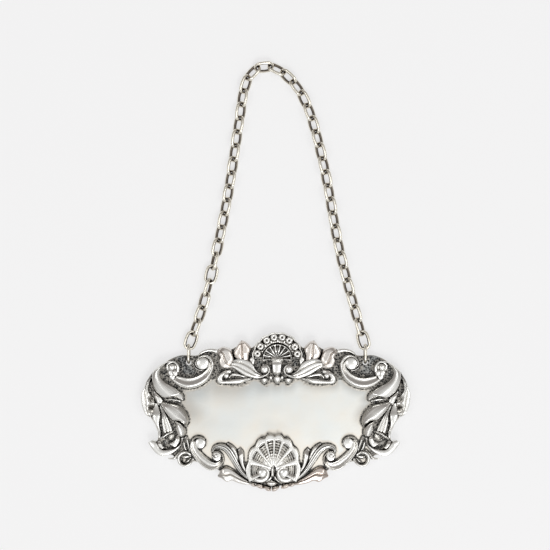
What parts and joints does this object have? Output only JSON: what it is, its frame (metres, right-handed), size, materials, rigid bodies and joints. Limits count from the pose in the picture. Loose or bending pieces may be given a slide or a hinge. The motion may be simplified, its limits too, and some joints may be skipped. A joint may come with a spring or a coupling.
{
  "type": "decanter label on a chain",
  "caption": "Cast silver decanter label with a plain reserve, a rococo border of scrolls, leaves and shells, and a loop of oval chain through two holes to hang it on a neck.",
  "frame": {"origin": "on the back of the foot, at the bottom of the label, on its middle line", "axes": "+X across the label to the viewer's right, +Y up the label towards the chain, +Z out of its face"},
  "size_m": [0.0594, 0.0959, 0.0039],
  "materials": {
    "silver_cast": "polished silver, dark in the recesses",
    "silver_wire": "polished silver wire, dark where links meet"
  },
  "bodies": {
    "label": {"ground_plate": "silver_cast", "crest_shell": "silver_cast", "lower_shell": "silver_cast", "left_upper_scroll": "silver_cast", "left_side_leaf": "silver_cast", "left_lower_scroll": "silver_cast", "left_top_spray": "silver_cast", "left_bottom_spray": "silver_cast", "right_upper_scroll": "silver_cast", "right_side_leaf": "silver_cast", "right_lower_scroll": "silver_cast", "right_top_spray": "silver_cast", "right_bottom_spray": "silver_cast"},
    "left_link_01": {"left_link_01": "silver_wire"},
    "left_link_02": {"left_link_02": "silver_wire"},
    "left_link_03": {"left_link_03": "silver_wire"},
    "left_link_04": {"left_link_04": "silver_wire"},
    "left_link_05": {"left_link_05": "silver_wire"},
    "left_link_06": {"left_link_06": "silver_wire"},
    "left_link_07": {"left_link_07": "silver_wire"},
    "left_link_08": {"left_link_08": "silver_wire"},
    "left_link_09": {"left_link_09": "silver_wire"},
    "left_link_10": {"left_link_10": "silver_wire"},
    "left_link_11": {"left_link_11": "silver_wire"},
    "left_link_12": {"left_link_12": "silver_wire"},
    "left_link_13": {"left_link_13": "silver_wire"},
    "left_link_14": {"left_link_14": "silver_wire"},
    "left_link_15": {"left_link_15": "silver_wire"},
    "left_link_16": {"left_link_16": "silver_wire"},
    "left_link_17": {"left_link_17": "silver_wire"},
    "left_link_18": {"left_link_18": "silver_wire"},
    "left_link_19": {"left_link_19": "silver_wire"},
    "left_link_20": {"left_link_20": "silver_wire"},
    "left_link_21": {"left_link_21": "silver_wire"},
    "left_link_22": {"left_link_22": "silver_wire"},
    "left_link_23": {"left_link_23": "silver_wire"},
    "right_link_23": {"right_link_23": "silver_wire"},
    "right_link_22": {"right_link_22": "silver_wire"},
    "right_link_21": {"right_link_21": "silver_wire"},
    "right_link_20": {"right_link_20": "silver_wire"},
    "right_link_19": {"right_link_19": "silver_wire"},
    "right_link_18": {"right_link_18": "silver_wire"},
    "right_link_17": {"right_link_17": "silver_wire"},
    "right_link_16": {"right_link_16": "silver_wire"},
    "right_link_15": {"right_link_15": "silver_wire"},
    "right_link_14": {"right_link_14": "silver_wire"},
    "right_link_13": {"right_link_13": "silver_wire"},
    "right_link_12": {"right_link_12": "silver_wire"},
    "right_link_11": {"right_link_11": "silver_wire"},
    "right_link_10": {"right_link_10": "silver_wire"},
    "right_link_09": {"right_link_09": "silver_wire"},
    "right_link_08": {"right_link_08": "silver_wire"},
    "right_link_07": {"right_link_07": "silver_wire"},
    "right_link_06": {"right_link_06": "silver_wire"},
    "right_link_05": {"right_link_05": "silver_wire"},
    "right_link_04": {"right_link_04": "silver_wire"},
    "right_link_03": {"right_link_03": "silver_wire"},
    "right_link_02": {"right_link_02": "silver_wire"},
    "right_link_01": {"right_link_01": "silver_wire"}
  },
  "joints": [
    {"name": "loop_swing", "type": "hinge", "parent": "label", "child": "left_link_01", "pos_m": [-0.01885, 0.0276, 0.00145], "axis": [1, 0, 0], "range_deg": [-90, 90]},
    {"name": "right_loop_swing", "type": "hinge", "parent": "label", "child": "right_link_01", "pos_m": [0.02075, 0.0276, 0.00145], "axis": [1, 0, 0], "range_deg": [-90, 90]},
    {"name": "fold_02", "type": "hinge", "parent": "left_link_01", "child": "left_link_02", "pos_m": [-0.01885, 0.03, 0.00145], "axis": [1, 0, 0], "range_deg": [-9, 24]},
    {"name": "right_fold_02", "type": "hinge", "parent": "right_link_01", "child": "right_link_02", "pos_m": [0.02075, 0.03, 0.00145], "axis": [1, 0, 0], "range_deg": [-9, 24]},
    {"name": "fold_03", "type": "hinge", "parent": "left_link_02", "child": "left_link_03", "pos_m": [-0.01783, 0.03293, 0.00127], "axis": [-1, -0.0016, 0], "range_deg": [-12, 28]},
    {"name": "right_fold_03", "type": "hinge", "parent": "right_link_02", "child": "right_link_03", "pos_m": [0.01994, 0.03299, 0.00127], "axis": [-1, -0.0016, 0], "range_deg": [-12, 28]},
    {"name": "fold_04", "type": "hinge", "parent": "left_link_03", "child": "left_link_04", "pos_m": [-0.01679, 0.03585, 0.00127], "axis": [1, 0.0036, 0], "range_deg": [-24, 19]},
    {"name": "right_fold_04", "type": "hinge", "parent": "right_link_03", "child": "right_link_04", "pos_m": [0.01911, 0.03598, 0.00127], "axis": [1, 0.0036, 0], "range_deg": [-24, 19]},
    {"name": "fold_05", "type": "hinge", "parent": "left_link_04", "child": "left_link_05", "pos_m": [-0.0158, 0.03879, 0.00113], "axis": [-1, -0.0052, 0], "range_deg": [-24, 27]},
    {"name": "right_fold_05", "type": "hinge", "parent": "right_link_04", "child": "right_link_05", "pos_m": [0.01828, 0.03896, 0.00113], "axis": [-1, -0.0052, 0], "range_deg": [-24, 27]},
    {"name": "fold_06", "type": "hinge", "parent": "left_link_05", "child": "left_link_06", "pos_m": [-0.01491, 0.04176, 0.00137], "axis": [1, 0.006, -0.0076], "range_deg": [-16, 17]},
    {"name": "right_fold_06", "type": "hinge", "parent": "right_link_05", "child": "right_link_06", "pos_m": [0.01745, 0.04195, 0.00113], "axis": [1, 0.006, -0.0076], "range_deg": [-16, 17]},
    {"name": "fold_07", "type": "hinge", "parent": "left_link_06", "child": "left_link_07", "pos_m": [-0.01414, 0.04476, 0.00137], "axis": [-0.9999, -0.0061, 0.0079], "range_deg": [-13, 23]},
    {"name": "right_fold_07", "type": "hinge", "parent": "right_link_06", "child": "right_link_07", "pos_m": [0.01665, 0.04495, 0.00113], "axis": [-0.9999, -0.0061, 0.0079], "range_deg": [-13, 23]},
    {"name": "fold_08", "type": "hinge", "parent": "left_link_07", "child": "left_link_08", "pos_m": [-0.01341, 0.04777, 0.00137], "axis": [0.9999, 0.0061, -0.0083], "range_deg": [-21, 14]},
    {"name": "right_fold_08", "type": "hinge", "parent": "right_link_07", "child": "right_link_08", "pos_m": [0.01589, 0.04795, 0.00113], "axis": [0.9999, 0.0061, -0.0083], "range_deg": [-21, 14]},
    {"name": "fold_09", "type": "hinge", "parent": "left_link_08", "child": "left_link_09", "pos_m": [-0.01272, 0.05079, 0.00137], "axis": [-0.9999, -0.0062, 0.0088], "range_deg": [-18, 15]},
    {"name": "right_fold_09", "type": "hinge", "parent": "right_link_08", "child": "right_link_09", "pos_m": [0.01517, 0.05097, 0.00113], "axis": [-0.9999, -0.0062, 0.0088], "range_deg": [-18, 15]},
    {"name": "fold_10", "type": "hinge", "parent": "left_link_09", "child": "left_link_10", "pos_m": [-0.01207, 0.05382, 0.00113], "axis": [1, 0.0066, 0], "range_deg": [-25, 25]},
    {"name": "right_fold_10", "type": "hinge", "parent": "right_link_09", "child": "right_link_10", "pos_m": [0.01453, 0.054, 0.00113], "axis": [1, 0.0066, 0], "range_deg": [-25, 25]},
    {"name": "fold_11", "type": "hinge", "parent": "left_link_10", "child": "left_link_11", "pos_m": [-0.01144, 0.05686, 0.00113], "axis": [-1, -0.0074, 0], "range_deg": [-25, 25]},
    {"name": "right_fold_11", "type": "hinge", "parent": "right_link_10", "child": "right_link_11", "pos_m": [0.01396, 0.05705, 0.00113], "axis": [-1, -0.0074, 0], "range_deg": [-25, 25]},
    {"name": "fold_12", "type": "hinge", "parent": "left_link_11", "child": "left_link_12", "pos_m": [-0.01083, 0.0599, 0.00113], "axis": [1, 0.0083, 0], "range_deg": [-25, 25]},
    {"name": "right_fold_12", "type": "hinge", "parent": "right_link_11", "child": "right_link_12", "pos_m": [0.01343, 0.0601, 0.00113], "axis": [1, 0.0083, 0], "range_deg": [-25, 25]},
    {"name": "fold_13", "type": "hinge", "parent": "left_link_12", "child": "left_link_13", "pos_m": [-0.01026, 0.06295, 0.00113], "axis": [-1, -0.0091, 0], "range_deg": [-25, 25]},
    {"name": "right_fold_13", "type": "hinge", "parent": "right_link_12", "child": "right_link_13", "pos_m": [0.01292, 0.06316, 0.00113], "axis": [-1, -0.0091, 0], "range_deg": [-25, 25]},
    {"name": "fold_14", "type": "hinge", "parent": "left_link_13", "child": "left_link_14", "pos_m": [-0.00974, 0.066, 0.00113], "axis": [1, 0.0095, 0], "range_deg": [-25, 25]},
    {"name": "right_fold_14", "type": "hinge", "parent": "right_link_13", "child": "right_link_14", "pos_m": [0.01239, 0.06621, 0.00113], "axis": [1, 0.0095, 0], "range_deg": [-25, 25]},
    {"name": "fold_15", "type": "hinge", "parent": "left_link_14", "child": "left_link_15", "pos_m": [-0.00926, 0.06907, 0.00113], "axis": [-1, -0.0092, 0], "range_deg": [-25, 25]},
    {"name": "right_fold_15", "type": "hinge", "parent": "right_link_14", "child": "right_link_15", "pos_m": [0.01181, 0.06926, 0.00113], "axis": [-1, -0.0092, 0], "range_deg": [-25, 25]},
    {"name": "fold_16", "type": "hinge", "parent": "left_link_15", "child": "left_link_16", "pos_m": [-0.0088, 0.07213, 0.00113], "axis": [1, 0.0078, 0], "range_deg": [-25, 25]},
    {"name": "right_fold_16", "type": "hinge", "parent": "right_link_15", "child": "right_link_16", "pos_m": [0.01114, 0.07229, 0.00113], "axis": [1, 0.0078, 0], "range_deg": [-25, 25]},
    {"name": "fold_17", "type": "hinge", "parent": "left_link_16", "child": "left_link_17", "pos_m": [-0.00835, 0.0752, 0.00113], "axis": [-1, -0.0056, 0], "range_deg": [-25, 25]},
    {"name": "right_fold_17", "type": "hinge", "parent": "right_link_16", "child": "right_link_17", "pos_m": [0.01043, 0.0753, 0.00113], "axis": [-1, -0.0056, 0], "range_deg": [-25, 25]},
    {"name": "fold_18", "type": "hinge", "parent": "left_link_17", "child": "left_link_18", "pos_m": [-0.00789, 0.07826, 0.00113], "axis": [1, 0.0023, 0], "range_deg": [-25, 25]},
    {"name": "right_fold_18", "type": "hinge", "parent": "right_link_17", "child": "right_link_18", "pos_m": [0.00966, 0.07831, 0.00113], "axis": [1, 0.0023, 0], "range_deg": [-25, 25]},
    {"name": "fold_19", "type": "hinge", "parent": "left_link_18", "child": "left_link_19", "pos_m": [-0.00741, 0.08133, 0.00113], "axis": [-1, 0.0029, 0], "range_deg": [-25, 25]},
    {"name": "right_fold_19", "type": "hinge", "parent": "right_link_18", "child": "right_link_19", "pos_m": [0.00879, 0.08128, 0.00113], "axis": [-1, 0.0029, 0], "range_deg": [-25, 25]},
    {"name": "fold_20", "type": "hinge", "parent": "left_link_19", "child": "left_link_20", "pos_m": [-0.007, 0.0844, 0.00113], "axis": [0.9999, -0.0136, 0], "range_deg": [-25, 22]},
    {"name": "right_fold_20", "type": "hinge", "parent": "right_link_19", "child": "right_link_20", "pos_m": [0.00774, 0.0842, 0.00113], "axis": [0.9999, -0.0136, 0], "range_deg": [-25, 22]},
    {"name": "fold_21", "type": "hinge", "parent": "left_link_20", "child": "left_link_21", "pos_m": [-0.00656, 0.08747, 0.00113], "axis": [-0.9993, 0.0376, 0], "range_deg": [-22, 22]},
    {"name": "right_fold_21", "type": "hinge", "parent": "right_link_20", "child": "right_link_21", "pos_m": [0.00638, 0.08698, 0.00113], "axis": [-0.9993, 0.0376, 0], "range_deg": [-22, 22]},
    {"name": "fold_22", "type": "hinge", "parent": "left_link_21", "child": "left_link_22", "pos_m": [-0.00557, 0.09039, 0.00113], "axis": [0.996, -0.0889, 0], "range_deg": [-15, 15]},
    {"name": "right_fold_22", "type": "hinge", "parent": "right_link_21", "child": "right_link_22", "pos_m": [0.00457, 0.08949, 0.00113], "axis": [0.996, -0.0889, 0], "range_deg": [-15, 15]},
    {"name": "fold_23", "type": "hinge", "parent": "left_link_22", "child": "left_link_23", "pos_m": [-0.00347, 0.09261, 0.00113], "axis": [-0.9853, 0.1709, 0], "range_deg": [-7, 0]},
    {"name": "right_fold_23", "type": "hinge", "parent": "right_link_22", "child": "right_link_23", "pos_m": [0.00231, 0.09161, 0.00113], "axis": [-0.9853, 0.1709, 0], "range_deg": [-7, 0]}
  ],
  "couplings": [
    {"joint": "right_loop_swing", "follows": "loop_swing", "ratio": 1},
    {"joint": "right_fold_02", "follows": "fold_02", "ratio": 1},
    {"joint": "right_fold_03", "follows": "fold_03", "ratio": 1},
    {"joint": "right_fold_04", "follows": "fold_04", "ratio": 1},
    {"joint": "right_fold_05", "follows": "fold_05", "ratio": 1},
    {"joint": "right_fold_06", "follows": "fold_06", "ratio": 1},
    {"joint": "right_fold_07", "follows": "fold_07", "ratio": 1},
    {"joint": "right_fold_08", "follows": "fold_08", "ratio": 1},
    {"joint": "right_fold_09", "follows": "fold_09", "ratio": 1},
    {"joint": "right_fold_10", "follows": "fold_10", "ratio": 1},
    {"joint": "right_fold_11", "follows": "fold_11", "ratio": 1},
    {"joint": "right_fold_12", "follows": "fold_12", "ratio": 1},
    {"joint": "right_fold_13", "follows": "fold_13", "ratio": 1},
    {"joint": "right_fold_14", "follows": "fold_14", "ratio": 1},
    {"joint": "right_fold_15", "follows": "fold_15", "ratio": 1},
    {"joint": "right_fold_16", "follows": "fold_16", "ratio": 1},
    {"joint": "right_fold_17", "follows": "fold_17", "ratio": 1},
    {"joint": "right_fold_18", "follows": "fold_18", "ratio": 1},
    {"joint": "right_fold_19", "follows": "fold_19", "ratio": 1},
    {"joint": "right_fold_20", "follows": "fold_20", "ratio": 1},
    {"joint": "right_fold_21", "follows": "fold_21", "ratio": 1},
    {"joint": "right_fold_22", "follows": "fold_22", "ratio": 1},
    {"joint": "right_fold_23", "follows": "fold_23", "ratio": 1}
  ]
}
